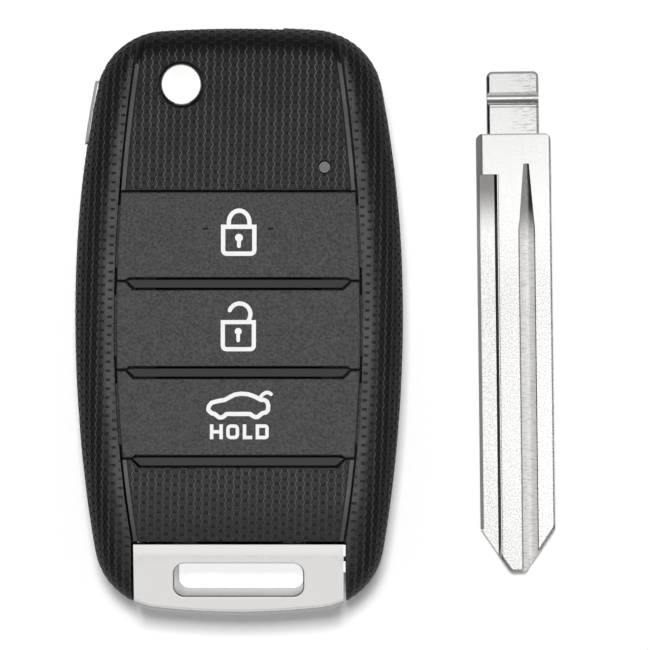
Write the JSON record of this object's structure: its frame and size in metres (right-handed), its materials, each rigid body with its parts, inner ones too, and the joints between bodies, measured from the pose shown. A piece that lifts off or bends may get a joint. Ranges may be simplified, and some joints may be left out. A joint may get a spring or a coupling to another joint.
{
  "type": "folding key remote shell",
  "caption": "Flat black folding key remote case with wide keys, a round release button, a plated key ring bar, a sprung head and a loose uncut blade.",
  "frame": {"origin": "middle of the case's flat back face, which the case lies on", "axes": "+Y along the case towards the folding head, +Z out of the front face, +X to the right as the keys are read, towards the loose blade"},
  "size_m": [0.0618, 0.075, 0.0155],
  "materials": {
    "case_plastic": "fine hexagon texture",
    "panel_plastic": "fine hexagon texture",
    "frame_plastic": "smooth satin",
    "mat_rubber": "smooth",
    "tray_plastic": "as moulded",
    "plating": "bright plated",
    "spring_steel": "drawn wire",
    "bright_steel": "bright",
    "washer_plastic": "plain",
    "hub_plastic": "as moulded",
    "lens_plastic": "smoked",
    "blade_metal": "milled, bright",
    "key_plastic": "fine matt grain"
  },
  "bodies": {
    "root": {"front_cover": "case_plastic", "back_cover": "case_plastic", "face_panel": "panel_plastic", "key_frame": "frame_plastic", "keypad_mat": "mat_rubber", "board_tray": "tray_plastic", "end_bar": "plating", "spring_seat": "bright_steel", "pivot_washer": "washer_plastic", "led_lens": "lens_plastic", "cover_screws": "bright_steel", "key_blade": "blade_metal"},
    "folding_head": {"flip_head": "plating", "flip_spring": "spring_steel"},
    "release_button": {"button_hub": "hub_plastic", "button_cap": "plating"},
    "lock_button": {"key_lock": "key_plastic"},
    "unlock_button": {"key_unlock": "key_plastic"},
    "trunk_button": {"key_trunk": "key_plastic"}
  },
  "joints": [
    {"name": "head_flip", "type": "hinge", "parent": "root", "child": "folding_head", "pos_m": [-0.0072, 0.0298, 0.0081], "axis": [0, 0, 1], "range_deg": [-180, 0]},
    {"name": "release_press", "type": "slide", "parent": "folding_head", "child": "release_button", "axis": [0, 0, -1], "range_m": [0, 0.0012], "stiffness_N_per_m": 1000, "springref_m": -0.001, "deforming": ["flip_spring"]},
    {"name": "lock_press", "type": "slide", "parent": "root", "child": "lock_button", "axis": [0, 0, -1], "range_m": [0, 0.0004], "stiffness_N_per_m": 1500, "springref_m": -0.0002},
    {"name": "unlock_press", "type": "slide", "parent": "root", "child": "unlock_button", "axis": [0, 0, -1], "range_m": [0, 0.0004], "stiffness_N_per_m": 1500, "springref_m": -0.0002},
    {"name": "trunk_press", "type": "slide", "parent": "root", "child": "trunk_button", "axis": [0, 0, -1], "range_m": [0, 0.0004], "stiffness_N_per_m": 1500, "springref_m": -0.0002}
  ]
}
